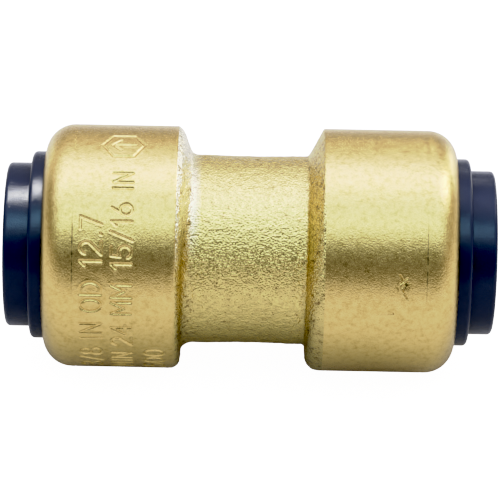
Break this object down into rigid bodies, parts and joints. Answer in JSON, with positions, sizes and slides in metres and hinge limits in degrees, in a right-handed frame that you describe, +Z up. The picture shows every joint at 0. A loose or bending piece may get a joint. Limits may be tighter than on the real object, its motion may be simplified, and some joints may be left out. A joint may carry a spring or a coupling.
{
  "type": "push fit coupling",
  "caption": "Straight push fit plumbing coupling: turned brass shell with a narrow cast neck and a dark plastic release collar at each end, for joining tubes.",
  "frame": {"origin": "on the tube axis, midway between the two mouths, in the middle of the tube stop", "axes": "+X along the tube axis towards the right-hand mouth, +Z up, the markings on the left-hand bell face -Y and a little up"},
  "size_m": [0.05, 0.025, 0.025],
  "materials": {
    "brass": "turned smooth on the bells, shot-blasted as cast on the neck and shoulders",
    "plastic_navy": "moulded, fine grain, satin",
    "plastic_natural": "moulded, satin",
    "plastic_white": "moulded, satin",
    "rubber_black": "lightly greased rubber",
    "stainless": "stamped spring strip"
  },
  "bodies": {
    "fitting_body": {"brass_body": "brass", "left_o_ring": "rubber_black", "left_o_ring_protector": "plastic_natural", "left_retaining_cap": "plastic_navy", "right_o_ring": "rubber_black", "right_o_ring_protector": "plastic_natural", "right_retaining_cap": "plastic_navy"},
    "left_grab_ring": {"left_grab_ring": "stainless"},
    "left_release_collar": {"left_release_collar": "plastic_navy"},
    "left_tube_liner": {"left_tube_liner": "plastic_white"},
    "right_grab_ring": {"right_grab_ring": "stainless"},
    "right_release_collar": {"right_release_collar": "plastic_navy"},
    "right_tube_liner": {"right_tube_liner": "plastic_white"}
  },
  "joints": [
    {"name": "left_grab_ring_turn", "type": "hinge", "parent": "fitting_body", "child": "left_grab_ring", "pos_m": [0, 0, 0], "axis": [1, 0, 0], "continuous": true},
    {"name": "left_collar_press", "type": "slide", "parent": "left_grab_ring", "child": "left_release_collar", "axis": [1, 0, 0], "range_m": [0, 0.0018], "stiffness_N_per_m": 12000, "deforming": ["left_grab_ring"]},
    {"name": "left_liner_draw", "type": "slide", "parent": "fitting_body", "child": "left_tube_liner", "axis": [-1, 0, 0], "range_m": [0, 0.026]},
    {"name": "right_grab_ring_turn", "type": "hinge", "parent": "fitting_body", "child": "right_grab_ring", "pos_m": [0, 0, 0], "axis": [1, 0, 0], "continuous": true},
    {"name": "right_collar_press", "type": "slide", "parent": "right_grab_ring", "child": "right_release_collar", "axis": [-1, 0, 0], "range_m": [0, 0.0018], "stiffness_N_per_m": 12000, "deforming": ["right_grab_ring"]},
    {"name": "right_liner_draw", "type": "slide", "parent": "fitting_body", "child": "right_tube_liner", "axis": [1, 0, 0], "range_m": [0, 0.026]}
  ]
}
